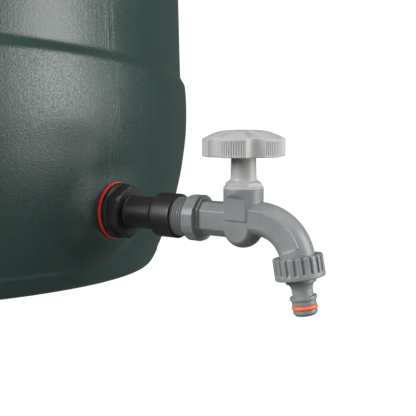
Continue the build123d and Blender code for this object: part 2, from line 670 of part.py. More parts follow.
with BuildPart() as hose_nose:
    with BuildSketch(OUTLET_PROFILE):
        with BuildLine():
            Polyline(
                (NOSE_NECK_R, NOSE_NECK_START),
                (NOSE_NECK_R, NOSE_RING_START),
                (NOSE_RING_R, NOSE_RING_START),
                (NOSE_RING_R, NOSE_RING_END),
                (NOSE_TIP_R, NOSE_RING_END),
                (NOSE_TIP_R, NOSE_GROOVE_START),
                (NOSE_GROOVE_R, NOSE_GROOVE_START),
                (NOSE_GROOVE_R, NOSE_GROOVE_END),
                (NOSE_TIP_R, NOSE_GROOVE_END),
                (NOSE_TIP_R, NOSE_END - 1.5),
                (NOSE_TIP_R - 1.5, NOSE_END),
                (NOSE_BORE, NOSE_END),
                (NOSE_BORE, OUTLET_WASHER_END),
                (NOSE_FLANGE_R, OUTLET_WASHER_END),
                (NOSE_FLANGE_R, NUT_LIP),
                (NOSE_COLLAR_R, NUT_LIP),
                (NOSE_COLLAR_R, NOSE_COLLAR_END),
            )
            RadiusArc((NOSE_COLLAR_R, NOSE_COLLAR_END), (NOSE_NECK_R, NOSE_NECK_START), 7)
        make_face()
    revolve(axis=OUTLET_AXIS)

with BuildPart() as nose_o_ring:
    o_ring_r = (NOSE_GROOVE_END - NOSE_GROOVE_START) / 2 - 0.15
    with BuildSketch(OUTLET_PROFILE):
        with Locations((NOSE_O_RING_R - o_ring_r, (NOSE_GROOVE_START + NOSE_GROOVE_END) / 2)):
            Circle(o_ring_r)
            Rectangle(4 * o_ring_r, 4 * o_ring_r, align=(Align.MAX, Align.CENTER), mode=Mode.SUBTRACT)
    revolve(axis=OUTLET_AXIS)
    ring(
        OUTLET_PROFILE, OUTLET_AXIS, NOSE_GROOVE_START + 0.15, NOSE_GROOVE_END - 0.15,
        NOSE_GROOVE_R + 0.05, NOSE_O_RING_R - o_ring_r + 0.01,
    )

parts = {
    "barrel_body": barrel_body,
    "lid": lid,
    "outlet_seal": outlet_seal,
    "inner_seal": inner_seal,
    "lock_nut": lock_nut,
    "tank_connector": tank_connector,
    "extension_socket": extension_socket,
    "extension_o_ring": extension_o_ring,
    "inlet_washer": inlet_washer,
    "tap_body": tap_body,
    "bonnet": bonnet,
    "bonnet_seal": bonnet_seal,
    "spindle": spindle,
    "spindle_o_rings": spindle_o_rings,
    "jumper": jumper,
    "valve_washer": valve_washer,
    "washer_screw": washer_screw,
    "handwheel": handwheel,
    "ring_nut": ring_nut,
    "outlet_washer": outlet_washer,
    "hose_nose": hose_nose,
    "nose_o_ring": nose_o_ring,
}
os.makedirs("parts", exist_ok=True)
for name, piece in parts.items():
    piece.part.label = name
    export_step(piece.part, f"parts/{name}.step")
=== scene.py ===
"""Looks of a 150 litre rain barrel with a plastic bib tap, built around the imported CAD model."""

import json
import math

import bmesh
import bpy
import numpy as np
from mathutils import Matrix, Vector


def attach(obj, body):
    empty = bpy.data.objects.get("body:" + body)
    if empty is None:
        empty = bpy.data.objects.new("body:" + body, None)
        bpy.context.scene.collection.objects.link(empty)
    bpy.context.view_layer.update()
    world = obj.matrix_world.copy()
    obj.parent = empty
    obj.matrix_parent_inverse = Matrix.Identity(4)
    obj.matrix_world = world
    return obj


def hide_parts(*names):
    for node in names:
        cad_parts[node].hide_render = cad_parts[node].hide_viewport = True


MM = 0.001
TAU = 2 * math.pi

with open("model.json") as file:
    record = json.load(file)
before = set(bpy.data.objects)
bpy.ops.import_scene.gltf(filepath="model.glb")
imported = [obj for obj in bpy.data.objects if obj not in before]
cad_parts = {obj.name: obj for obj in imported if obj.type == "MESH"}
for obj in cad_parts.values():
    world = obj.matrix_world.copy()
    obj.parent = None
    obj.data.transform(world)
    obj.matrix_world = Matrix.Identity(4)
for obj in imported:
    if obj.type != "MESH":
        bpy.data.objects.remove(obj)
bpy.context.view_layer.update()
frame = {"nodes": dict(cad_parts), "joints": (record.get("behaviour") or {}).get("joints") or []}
joints = {j["name"]: j for j in frame["joints"]}

# The tap's axes, as the CAD's joints give them
SPINDLE_UP = Vector(joints["handwheel_turn"]["axis"]).normalized()
SPINDLE_POINT = Vector(joints["handwheel_turn"]["pos_m"])
OUTLET_DOWN = Vector(joints["ring_nut_turn"]["axis"]).normalized()
OUTLET_POINT = Vector(joints["ring_nut_turn"]["pos_m"])
ALONG = Vector((SPINDLE_UP.z, 0, -SPINDLE_UP.x)).normalized()
SIDE = SPINDLE_UP.cross(ALONG)
CHAMBER_L = 99.0
TAP_POINT = SPINDLE_POINT - ALONG * CHAMBER_L * MM


def placed(x_axis, y_axis, z_axis, origin):
    """The matrix from a local frame in millimetres to the row's frame in metres."""
    turn = Matrix((x_axis, y_axis, z_axis)).transposed().to_4x4()
    return Matrix.Translation(origin) @ turn @ Matrix.Scale(MM, 4)


def in_frame(place, points):
    """World points in a local frame, in millimetres."""
    matrix = np.array(place.inverted())
    return points @ matrix[:3, :3].T + matrix[:3, 3]


def in_world(place, points):
    """Points of a local frame, in millimetres, as world points."""
    matrix = np.array(place)
    return points @ matrix[:3, :3].T + matrix[:3, 3]


# Local frames, in millimetres, with their z along the axis that their parts are turned about
UPRIGHT = placed(Vector((1, 0, 0)), Vector((0, 1, 0)), Vector((0, 0, 1)), Vector((0, 0, 0)))
TAP_ROLL = math.asin(SIDE.z)
TAP = placed(SIDE, SPINDLE_UP, ALONG, TAP_POINT)
SPINDLE = placed(ALONG, SIDE, SPINDLE_UP, SPINDLE_POINT)
OUTLET = placed(OUTLET_DOWN.cross(SIDE), SIDE * -1, OUTLET_DOWN, OUTLET_POINT)


# ---------------------------------------------------------------- outlines


BEND_STEPS = 5
LONGEST_REACH = 0.48  # of either side beside a corner
NEARLY_STRAIGHT = 0.02  # radians


def bend(points):
    """An outline whose corners are rounded. A point is (radius, height, rounding)."""
    out = []
    count = len(points)
    for i, point in enumerate(points):
        here = np.array(point[:2], float)
        rounding = point[2]
        before = np.array(points[i - 1][:2], float) - here
        after = np.array(points[(i + 1) % count][:2], float) - here
        if rounding <= 0 or (here[0] == 0 and (before[0] == 0 or after[0] == 0)):
            out.append(here)
            continue
        size_before, size_after = np.linalg.norm(before), np.linalg.norm(after)
        before, after = before / size_before, after / size_after
        half = math.acos(np.clip(before @ after, -1, 1)) / 2
        if half > math.pi / 2 - NEARLY_STRAIGHT:
            out.append(here)
            continue
        reach = min(rounding / math.tan(half), LONGEST_REACH * size_before, LONGEST_REACH * size_after)
        radius = reach * math.tan(half)
        middle = before + after
        centre = here + middle / np.linalg.norm(middle) * radius / math.sin(half)
        start, end = here + before * reach - centre, here + after * reach - centre
        turn = math.atan2(start[0] * end[1] - start[1] * end[0], start @ end)
        for step in range(BEND_STEPS + 1):
            angle = turn * step / BEND_STEPS
            c, s = math.cos(angle), math.sin(angle)
            out.append(centre + np.array([c * start[0] - s * start[1], s * start[0] + c * start[1]]))
    return np.array(out)


def spaced(outline, spacing, closed=True):
    """The outline with more points, none further apart than spacing(radius, height) asks."""
    out = []
    ends = len(outline) if closed else len(outline) - 1
    for i in range(ends):
        a, b = outline[i], outline[(i + 1) % len(outline)]
        limit = spacing if np.isscalar(spacing) else spacing(*((a + b) / 2))
        count = max(1, math.ceil(np.linalg.norm(b - a) / limit))
        out.extend(a + (b - a) * k / count for k in range(count))
    if not closed:
        out.append(outline[-1])
    return np.array(out)


def blurred(outline, reach):
    """An open, evenly spaced outline smoothed over reach points each side, its ends kept."""
    weights = np.exp(-0.5 * (np.arange(-2 * reach, 2 * reach + 1) / reach) ** 2)
    weights /= weights.sum()
    padded = np.concatenate([2 * outline[0] - outline[2 * reach:0:-1], outline,
                             2 * outline[-1] - outline[-2:-2 * reach - 2:-1]])
    return np.stack([np.convolve(padded[:, i], weights, "valid") for i in range(2)], 1)


# ---------------------------------------------------------------- meshes


PLAIN_STEPS = 128  # round a turned part with no detail


def even_angles(count):
    """Even angles round a full turn."""
    return np.arange(count) * TAU / count


def piece(name, vertices, faces, material, smooth=True):
    """A new mesh object from vertices in metres."""
    mesh = bpy.data.meshes.new(name)
    mesh.from_pydata([tuple(v) for v in vertices], [], faces)
    mesh.validate()
    mesh.shade_smooth() if smooth else mesh.shade_flat()
    obj = bpy.data.objects.new(name, mesh)
    bpy.context.scene.collection.objects.link(obj)
    mesh.materials.append(material)
    return obj


def turned(name, outline, place, material, angles, shape=None, closed=True):
    """The outline turned about the frame's z. shape(radius, height, angle) may move its points.

    A closed outline makes a ring. An open one starts and ends on the axis and makes a solid of revolution.
    """
    angles = even_angles(angles) if np.isscalar(angles) else angles
    radius = np.repeat(outline[:, 0][:, None], len(angles), 1)
    height = np.repeat(outline[:, 1][:, None], len(angles), 1)
    angle = np.repeat(angles[None, :], len(outline), 0)
    if shape:
        radius, height = shape(radius, height, angle)
    grid = np.stack([radius * np.cos(angle), radius * np.sin(angle), height], -1)
    rows, cols = angle.shape
    index = np.arange(rows * cols).reshape(rows, cols)
    vertices = grid.reshape(-1, 3)
    if not closed:
        index[0, :] = index[0, 0]
        index[-1, :] = index[-1, 0]
    faces = []
    for i in range(rows if closed else rows - 1):
        k = (i + 1) % rows
        for j in range(cols):
            n = (j + 1) % cols
            quad = [index[i, j], index[i, n], index[k, n], index[k, j]]
            corners = list(dict.fromkeys(int(q) for q in quad))
            if len(corners) > 2:
                faces.append(corners)
    used = sorted({c for f in faces for c in f})
    renumber = {c: n for n, c in enumerate(used)}
    obj = piece(name, in_world(place, vertices[used]), [[renumber[c] for c in f] for f in faces], material)
    outward(obj)
    return obj


def outward(obj):
    """Turn every face of a closed mesh to point out."""
    mesh = bmesh.new()
    mesh.from_mesh(obj.data)
    bmesh.ops.recalc_face_normals(mesh, faces=mesh.faces)
    mesh.to_mesh(obj.data)
    mesh.free()


def settle(obj):
    """Apply an object's modifiers to its mesh."""
    bpy.context.view_layer.update()
    graph = bpy.context.evaluated_depsgraph_get()
    mesh = bpy.data.meshes.new_from_object(obj.evaluated_get(graph))
    obj.modifiers.clear()
    obj.data = mesh
    mesh.shade_smooth()


def moulded(node, name, material, voxel, rounds, adjust):
    """A soft-edged copy of a CAD node, as if from a mould: voxels voxel mm wide, smoothed a few rounds.

    adjust(points) then moves its points, which are in metres.
    """
    obj = bpy.data.objects.new(name, frame["nodes"][node].data.copy())
    bpy.context.scene.collection.objects.link(obj)
    obj.data.materials.clear()
    obj.data.materials.append(material)
    remesh = obj.modifiers.new("remesh", "REMESH")
    remesh.mode = "VOXEL"
    remesh.voxel_size = voxel * MM
    soften = obj.modifiers.new("soften", "SMOOTH")
    soften.factor = 0.5
    soften.iterations = rounds
    settle(obj)
    mesh = obj.data
    points = np.empty(len(mesh.vertices) * 3)
    mesh.vertices.foreach_get("co", points)
    mesh.vertices.foreach_set("co", adjust(points.reshape(-1, 3)).ravel())
    mesh.update()
    return obj


def smoothstep(low, high, value):
    """0 at low, 1 at high and a smooth rise between. With low above high it falls."""
    t = np.clip((value - low) / (high - low), 0, 1)
    return t * t * (3 - 2 * t)


def from_nearest(angle, count):
    """How far angles are from the nearest of count even directions, the first of them at 0."""
    part = TAU / count
    return abs((angle + part / 2) % part - part / 2)


def hexagon_corner(flats):
    """How far the corners of a hexagon are from its middle."""
    return flats / 2 / math.cos(math.pi / 6)


def hexagon_radius(angle, flats, first, worn):
    """A hexagon's outline, with the middle of a side at the angle first and corners worn down by worn mm."""
    sharp = flats / 2 / np.cos(from_nearest(angle - first, 6))
    return np.minimum(sharp, hexagon_corner(flats) - worn)


# ---------------------------------------------------------------- materials


class Shader:
    """A material's node tree, with short ways to add what the materials here need."""

    def __init__(self, name):
        self.material = bpy.data.materials.new(name)
        self.material.use_nodes = True
        self.nodes = self.material.node_tree.nodes
        self.links = self.material.node_tree.links
        self.surface = self.nodes["Principled BSDF"]
        coordinates = self.nodes.new("ShaderNodeTexCoord")
        self.place = coordinates.outputs["Object"]

    def link(self, source, target):
        """Connect a node's output to a socket, or set the socket to a plain value."""
        if hasattr(source, "is_output"):
            self.links.new(source, target)
        else:
            target.default_value = source

    def stretched(self, scale):
        """The surface's place, scaled along each axis."""
        mapping = self.nodes.new("ShaderNodeMapping")
        mapping.inputs["Scale"].default_value = scale
        self.links.new(self.place, mapping.inputs["Vector"])
        return mapping.outputs["Vector"]

    def noise(self, size, detail=3.0, roughness=0.5, stretch=(1, 1, 1), distortion=0.0):
        """Noise whose features are about size mm wide, times stretch along each axis."""
        node = self.nodes.new("ShaderNodeTexNoise")
        scale = [1 / (size * MM * s) for s in stretch]
        self.links.new(self.stretched(scale), node.inputs["Vector"])
        node.inputs["Scale"].default_value = 1.0
        node.inputs["Detail"].default_value = detail
        node.inputs["Roughness"].default_value = roughness
        node.inputs["Distortion"].default_value = distortion
        return node.outputs["Fac"]

    def ramp(self, value, low, high, to_low=0.0, to_high=1.0, smooth=False):
        """The value carried from low..high to to_low..to_high, and held at both ends."""
        node = self.nodes.new("ShaderNodeMapRange")
        node.interpolation_type = "SMOOTHSTEP" if smooth else "LINEAR"
        self.link(value, node.inputs["Value"])
        node.inputs["From Min"].default_value = low
        node.inputs["From Max"].default_value = high
        node.inputs["To Min"].default_value = to_low
        node.inputs["To Max"].default_value = to_high
        return node.outputs["Result"]

    def math(self, operation, a, b=0.0, c=0.0):
        """One operation on up to three values."""
        node = self.nodes.new("ShaderNodeMath")
        node.operation = operation
        for value, socket in zip((a, b, c), node.inputs):
            self.link(value, socket)
        return node.outputs[0]

    def mix(self, factor, a, b):
        """Colour a where the factor is 0 and b where it is 1. Both are (r, g, b) or an output."""
        node = self.nodes.new("ShaderNodeMix")
        node.data_type = "RGBA"
        self.link(factor, node.inputs["Factor"])
        for value, socket in ((a, node.inputs[6]), (b, node.inputs[7])):
            self.link((*value, 1) if isinstance(value, tuple) else value, socket)
        return node.outputs[2]

    def bump(self, height, distance, strength=1.0, after=None):
        """A bump whose height 1 stands distance mm proud."""
        node = self.nodes.new("ShaderNodeBump")
        node.inputs["Strength"].default_value = strength
        node.inputs["Distance"].default_value = distance * MM
        self.link(height, node.inputs["Height"])
        if after:
            self.link(after, node.inputs["Normal"])
        return node.outputs["Normal"]

    def position(self):
        """The x, y and z of the surface, in metres."""
        node = self.nodes.new("ShaderNodeSeparateXYZ")
        self.links.new(self.place, node.inputs[0])
        return node.outputs

    def finish(self, colour, roughness, normal, specular=0.5):
        """Give the surface its last values and return the material."""
        self.link(colour, self.surface.inputs["Base Color"])
        self.link(roughness, self.surface.inputs["Roughness"])
        self.link(normal, self.surface.inputs["Normal"])
        self.surface.inputs["Specular IOR Level"].default_value = specular
        return self.material


def tinted(colour, factor):
    """The colour made lighter or darker."""
    return tuple(c * factor for c in colour)


def moulded_plastic(name, colour, spread, roughness, worn=0.25):
    """Injection-moulded plastic: cloudy tint, flow marks, fine grain and paler rubbed edges.

    spread is how far the tint strays, and worn how pale the edges are, both as shares.
    """
    s = Shader(name)
    clouds = s.noise(14, 4, 0.6)
    flow = s.noise(2.2, 3, 0.55, stretch=(1, 1, 5), distortion=0.4)
    specks = s.noise(0.5, 2, 0.7)
    tint = s.mix(s.ramp(clouds, 0.35, 0.65), tinted(colour, 1 - spread), tinted(colour, 1 + spread))
    tint = s.mix(s.ramp(flow, 0.4, 0.75, 0, 0.35), tint, tinted(colour, 1 + 1.5 * spread))
    tint = s.mix(s.ramp(specks, 0.66, 0.8, 0, 0.3), tint, tinted(colour, 0.6))
    geometry = s.nodes.new("ShaderNodeNewGeometry")
    edges = s.ramp(geometry.outputs["Pointiness"], 0.52, 0.62, 0, worn)
    tint = s.mix(edges, tint, tuple(min(1, c * 1.7 + 0.02) for c in colour))
    gloss = s.math("ADD", s.ramp(clouds, 0.3, 0.7, roughness - 0.06, roughness + 0.06),
                   s.ramp(specks, 0.3, 0.7, -0.03, 0.05))
    normal = s.bump(s.noise(0.25, 3, 0.6), 0.02)
    normal = s.bump(flow, 0.05, 0.6, normal)
    return s.finish(tint, gloss, normal, 0.45)


def rubber(name, colour, roughness=0.5):
    """Smooth moulded rubber with a dusty bloom."""
    s = Shader(name)
    bloom = s.noise(6, 5, 0.65)
    fine = s.noise(0.4, 2, 0.6)
    pale = tuple(0.85 * c + 0.03 for c in colour)
    tint = s.mix(s.ramp(bloom, 0.4, 0.7), colour, pale)
    gloss = s.ramp(bloom, 0.3, 0.7, roughness - 0.08, roughness + 0.1)
    return s.finish(tint, gloss, s.bump(fine, 0.015), 0.4)


def turned_steel(name):
    """Stainless steel with fine lathe lines."""
    s = Shader(name)
    s.surface.inputs["Metallic"].default_value = 1.0
    lines = s.noise(0.35, 2, 0.5, stretch=(1, 1, 0.3))
    tint = s.mix(s.ramp(lines, 0.3, 0.7), (0.5, 0.5, 0.49), (0.68, 0.68, 0.67))
    return s.finish(tint, s.ramp(lines, 0.3, 0.7, 0.25, 0.42), s.bump(lines, 0.01))


SEAM_ANGLE = math.radians(-2.0)
BARREL_GREEN = (0.0085, 0.034, 0.0275)
SCUFFED_GREEN = (0.16, 0.20, 0.18)
DRAGGED_GREEN = (0.10, 0.15, 0.13)


def barrel_plastic(name, seam_streaks=True):
    """Blow-moulded polyethylene: dark green with a pebbled grain, scuffs and drag lines beside the seam.

    The duller specks are stronger on the bottom band than on the drum above its step.
    """
    s = Shader(name)
    x, y, z = s.position()
    angle = s.math("ARCTAN2", y, x)
    clouds = s.noise(90, 4, 0.6)
    tint = s.mix(s.ramp(clouds, 0.3, 0.7), tinted(BARREL_GREEN, 0.88), tinted(BARREL_GREEN, 1.16))
    drag = s.noise(3.0, 4, 0.6, stretch=(1, 1, 60))
    tint = s.mix(s.ramp(drag, 0.45, 0.8, 0, 0.35), tint, tinted(BARREL_GREEN, 1.6))
    pebbles = s.noise(1.25, 2, 0.6, stretch=(1.2, 1.2, 0.8))
    below_step = s.ramp(z, 0.165, 0.18, 1, 0.3)
    specks = s.math("MULTIPLY", s.ramp(s.noise(1.3, 1, 0.5), 0.42, 0.66), below_step)
    grain = s.noise(0.45, 2, 0.6)
    scuffs = s.noise(7, 6, 0.75, stretch=(2.2, 2.2, 0.5), distortion=1.2)
    scuff_mask = s.math("MULTIPLY", s.ramp(scuffs, 0.66, 0.74), s.ramp(s.noise(60, 2), 0.5, 0.62))
    tint = s.mix(s.math("MULTIPLY", scuff_mask, 0.35), tint, SCUFFED_GREEN)
    gloss = s.ramp(clouds, 0.3, 0.7, 0.31, 0.39)
    gloss = s.math("ADD", gloss, s.math("MULTIPLY", specks, 0.14))
    gloss = s.math("ADD", gloss, s.math("MULTIPLY", scuff_mask, 0.15))
    normal = s.bump(pebbles, 0.20, 0.8)
    normal = s.bump(grain, 0.04, 0.7, normal)
    normal = s.bump(drag, 0.12, 0.5, normal)
    if seam_streaks:
        near = []
        for centre in (SEAM_ANGLE, SEAM_ANGLE + math.pi):
            off = s.math("SUBTRACT", angle, centre)
            off = s.math("ABSOLUTE", s.math("WRAP", off, math.pi, -math.pi))
            near.append(s.ramp(off, 0.004, 0.045, 1, 0, smooth=True))
        beside = s.math("MAXIMUM", *near)
        streaks = s.noise(1.1, 3, 0.65, stretch=(1, 1, 120))
        breaks = s.noise(9, 4, 0.7, stretch=(0.4, 0.4, 3))
        marks = s.math("MULTIPLY", s.ramp(streaks, 0.5, 0.72), s.ramp(breaks, 0.38, 0.6))
        marks = s.math("MULTIPLY", marks, beside)
        tint = s.mix(s.math("MULTIPLY", marks, 0.45), tint, DRAGGED_GREEN)
        normal = s.bump(marks, 0.35, 0.7, normal)
    return s.finish(tint, gloss, normal, 0.65)


barrel_green = barrel_plastic("barrel_green")
lid_green = barrel_plastic("lid_green", seam_streaks=False)
black_plastic = moulded_plastic("black_plastic", (0.013, 0.0125, 0.0115), 0.18, 0.44, worn=0.3)
tap_grey = moulded_plastic("tap_grey", (0.185, 0.198, 0.200), 0.08, 0.38)
light_grey = moulded_plastic("light_grey", (0.355, 0.355, 0.345), 0.05, 0.42, worn=0.15)
white_acetal = moulded_plastic("white_acetal", (0.66, 0.66, 0.63), 0.04, 0.3)
red_rubber = rubber("red_rubber", (0.95, 0.045, 0.035))
orange_rubber = rubber("orange_rubber", (0.85, 0.13, 0.035), 0.4)
black_rubber = rubber("black_rubber", (0.018, 0.018, 0.018), 0.6)
steel = turned_steel("steel")

CAD_FINISHES = {
    "inner_seal": black_rubber,
    "lock_nut": black_plastic,
    "extension_o_ring": black_rubber,
    "inlet_washer": black_rubber,
    "bonnet_seal": black_rubber,
    "spindle": white_acetal,
    "spindle_o_rings": black_rubber,
    "jumper": white_acetal,
    "valve_washer": black_rubber,
    "washer_screw": steel,
    "outlet_washer": black_rubber,
}
for node, material in CAD_FINISHES.items():
    mesh = frame["nodes"][node].data
    mesh.materials.clear()
    mesh.materials.append(material)


# ---------------------------------------------------------------- barrel

WALL = 3.0
BAND_R, BAND_Z, BAND_ARC = 259.0, 143.5, 292.0
STEP_LOW_Z, STEP_HIGH_Z = 169.0, 175.5
DRUM_R, WAIST_R, MIDDLE_Z = 254.1, 251.0, 405.5
SHOULDER_Z = 753.5
NECK_R, NECK_FOOT_Z = 229.0, 763.5
RIM_R, RIM_Z, RIM_HEIGHT = 231.5, 797.5, 5.0
FOOT_R, FOOT_Z = 192.0, 5.5
STAND_OUT_R, STAND_IN_R, DISH_R, DISH_HEIGHT = 186.0, 172.0, 160.0, 10.0
PAD_FACE, PAD_R, PAD_BLEND = -5.5, 20.5, 26.0
PAD_LOW_Z, PAD_HIGH_Z = 20, 120
FAR_WALL = -60  # along the tap's axis, behind the wall that has the pad
HOLE_R = 13.4
DRILL_START, DRILL_END, DRILL_STEPS = -30, 10, 64

# How the wall's corners soften, in millimetres: everywhere, and more at the foot and the shoulder
CORNER_BLUR, ROUND_BLUR, SHARE_BLUR, INSIDE_BLUR = 1, 7, 6, 3
ROUND_BELOW_Z, ROUND_BY_SHOULDER = 40, 22

# Where the outline keeps close points, and how far apart they then are, close and wide
STEP_MIDDLE = 3.0
DETAIL_BELOW_Z, DETAIL_BY_STEP, DETAIL_BY_SHOULDER = 100, 14, 25
CLOSE_GAP, WIDE_GAP = 1.4, 7.0

SEAM_RIDGE, SEAM_WIDTH, PINCH_DEPTH, PINCH_WIDTH = 0.10, 0.6, 1.6, 1.6
WAVE_INSET = 0.6
# The blown wall's slight waves: height in mm, waves round the barrel, mm of rise to a radian, and phase
WAVES = ((0.22, 3, 90, 0.0), (0.16, 7, -61, 1.0), (0.10, 17, 37, 0.0), (0.08, 5, 23, 0.0))


def band(low, high, inset, mirrored=False):
    """Points up the curve of the bottom band, or of the top band, which mirrors it, inset mm inside it."""
    heights = np.linspace(low, high, max(2, int((high - low) / 4)))
    depth = BAND_Z - heights
    radii = BAND_R - BAND_ARC + np.sqrt((BAND_ARC - inset) ** 2 - depth**2)
    if mirrored:
        return [(r, 2 * MIDDLE_Z - z) for r, z in zip(radii, heights)][::-1]
    return list(zip(radii, heights))


def drum(inset):
    """Points up the waisted drum between the bands."""
    low, high = STEP_HIGH_Z, 2 * MIDDLE_Z - STEP_HIGH_Z
    heights = np.linspace(low, high, 40)
    share = (heights - MIDDLE_Z) / (high - MIDDLE_Z)
    return [(WAIST_R - inset + (DRUM_R - WAIST_R) * t * t, z) for t, z in zip(share, heights)]


def wall_points(inset):
    """The wall from the middle of the floor up to the shoulder, inset mm inside its outer face."""
    foot = [(0, DISH_HEIGHT), (DISH_R, DISH_HEIGHT), (STAND_IN_R, 0.0), (STAND_OUT_R, 0.0), (FOOT_R, FOOT_Z)]
    bottom_band = band(FOOT_Z + inset, STEP_LOW_Z, inset)
    top_band = band(2 * MIDDLE_Z - SHOULDER_Z, STEP_LOW_Z, inset, mirrored=True)
    return [(radius, height + inset) for radius, height in foot] + bottom_band + drum(inset) + top_band


def softened(fine):
    """An outline of 1 mm steps with its corners eased."""
    radius, height = fine[:, 0], fine[:, 1]
    by_shoulder = abs(height - (SHOULDER_Z + NECK_FOOT_Z) / 2) < ROUND_BY_SHOULDER
    rounder = ((height < ROUND_BELOW_Z) | by_shoulder) & (radius > FOOT_R + 6)
    share = blurred(np.stack([rounder, rounder], 1).astype(float), SHARE_BLUR)[:, :1]
    soft = blurred(fine, CORNER_BLUR) * (1 - share) + blurred(fine, ROUND_BLUR) * share
    soft[:, 1] = np.clip(soft[:, 1], 0.0, RIM_Z)
    return soft


def needs_detail(radius, height):
    """Whether the outline bends here: at the foot, the steps, the shoulder and the rim."""
    step = STEP_LOW_Z + STEP_MIDDLE
    by_step = abs(height - step) < DETAIL_BY_STEP or abs(height - 2 * MIDDLE_Z + step) < DETAIL_BY_STEP
    by_end = height < DETAIL_BELOW_Z or height > SHOULDER_Z - DETAIL_BY_SHOULDER
    return radius > DISH_R - 5 and (by_step or by_end)


def barrel_outside():
    """The barrel's outer outline, from the middle of its underside up to the rim."""
    rim_foot = RIM_Z - RIM_HEIGHT
    rim = [(NECK_R, NECK_FOOT_Z), (NECK_R, rim_foot), (RIM_R, rim_foot + 1), (RIM_R, RIM_Z)]
    soft = softened(spaced(np.array(wall_points(0.0) + rim), 1.0, closed=False))
    keep = [0]
    for i in range(1, len(soft)):
        gap = CLOSE_GAP if needs_detail(*soft[i]) else WIDE_GAP
        if np.linalg.norm(soft[i] - soft[keep[-1]]) >= gap or i == len(soft) - 1:
            keep.append(i)
    return soft[keep]


def barrel_inside():
    """The inner outline, from the rim down to the middle of the floor."""
    rim = [(NECK_R - WALL, NECK_FOOT_Z - 1.5), (NECK_R - WALL, RIM_Z)]
    soft = blurred(spaced(np.array(wall_points(WALL) + rim), 2.0, closed=False), INSIDE_BLUR)
    keep = soft[:, 1] < 95
    keep[::4] = True
    keep[-1] = True
    return soft[keep][::-1]


def pad_pull(radius, height, angle, lift, reach):
    """Radii pulled onto the flat pad's plane within reach of the tap's axis."""
    points = np.stack([radius * np.cos(angle), radius * np.sin(angle), height], -1)
    local = in_frame(TAP, points * MM)
    away = np.hypot(local[..., 0], local[..., 1])
    front = local[..., 2] > FAR_WALL
    share = (1 - smoothstep(reach, reach + PAD_BLEND, away)) * front
    origin = np.array(TAP_POINT) / MM
    plane = PAD_FACE + lift + origin @ np.array(ALONG)
    flat = (plane - height * ALONG.z) / (np.cos(angle) * ALONG.x + 1e-9)
    return np.where(share > 0, radius + (flat - radius) * share, radius)


def barrel_wall(radius, height, angle):
    """The moulded shape of the barrel's wall: seam, pad, pinch line and the slight waves of a blown wall."""
    outer = np.arange(radius.shape[0])[:, None] < barrel_rows
    from_seam = from_nearest(angle - SEAM_ANGLE, 2)
    wall_rows = outer & (height > 8) & (height < RIM_Z - RIM_HEIGHT - 4) & (radius > NECK_R + 3)
    inside_box = smoothstep(BAND_R - 0.2, BAND_R - 2.0, radius)
    ridge = SEAM_RIDGE * np.exp(-((from_seam * radius / SEAM_WIDTH) ** 2))
    waves = sum(size * np.sin(count * angle + height / rise + phase) for size, count, rise, phase in WAVES)
    radius = np.where(wall_rows, radius + (ridge + waves - WAVE_INSET) * inside_box, radius)
    pinch = outer & (radius < DISH_R - 6)
    across = radius * np.abs(np.sin(angle - SEAM_ANGLE))
    height = np.where(pinch, height - PINCH_DEPTH * np.exp(-((across / PINCH_WIDTH) ** 2)), height)
    pulled = pad_pull(radius, height, angle, 0.0, PAD_R)
    pulled_in = pad_pull(radius, height, angle, -WALL - 0.5, PAD_R - 1.0)
    side = (height > PAD_LOW_Z) & (height < PAD_HIGH_Z) & (radius > FOOT_R + 8)
    return np.where(side, np.where(outer, pulled, pulled_in), radius), height


def barrel_angles():
    """Angles round the barrel, closer together by the pad and the seam."""
    by_seam_step, by_pad_step, plain_step = (math.radians(degrees) for degrees in (0.12, 0.3, 0.9))
    marks = [-math.pi + SEAM_ANGLE]
    while marks[-1] < math.pi + SEAM_ANGLE - by_seam_step / 2:
        here = marks[-1]
        by_seam = from_nearest(here - SEAM_ANGLE, 2) < math.radians(0.7)
        by_pad = from_nearest(here, 1) < math.radians(7.5)
        marks.append(here + (by_seam_step if by_seam else by_pad_step if by_pad else plain_step))
    return np.array(marks[:-1])


outside, inside = barrel_outside(), barrel_inside()
barrel_rows = len(outside)
barrel = turned("barrel", np.concatenate([outside, inside]), UPRIGHT, barrel_green, barrel_angles(),
                barrel_wall, closed=False)
drill_ends = ((0, DRILL_START), (HOLE_R, DRILL_START), (HOLE_R, DRILL_END), (0, DRILL_END))
drill_outline = np.array(drill_ends, float)
drill = turned("drill", drill_outline, TAP, barrel_green, DRILL_STEPS, closed=False)
cut = barrel.modifiers.new("tap hole", "BOOLEAN")
cut.operation = "DIFFERENCE"
cut.solver = "EXACT"
cut.object = drill
settle(barrel)
bpy.data.objects.remove(drill)
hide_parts("barrel_body")
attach(barrel, "barrel")


# ---------------------------------------------------------------- lid

LID_R, LID_WALL, LID_SKIRT_Z = 238.0, 3.0, 773.5
LID_PLUG_R, LID_PLUG_Z = 223.5, 785.5
LID_CROWN_R, LID_CROWN_HEIGHT = 196.0, 9.0
LID_TOP = RIM_Z + LID_CROWN_HEIGHT + LID_WALL
LID_STEPS = 540
LID_RIBS = 12
RIB_FOOT_R, RIB_END_R = 70, 180
HUB_RING_R, HUB_RING_WIDTH = 72, 12
PANEL_DEPTH = 1.6
LID_GRIPS = 4
GRIP_ANGLE, GRIP_SWING = math.radians(45), math.radians(7.5)
GRIP_REACH, GRIP_TALL, GRIP_LIP = 9.5, 12, 0.2


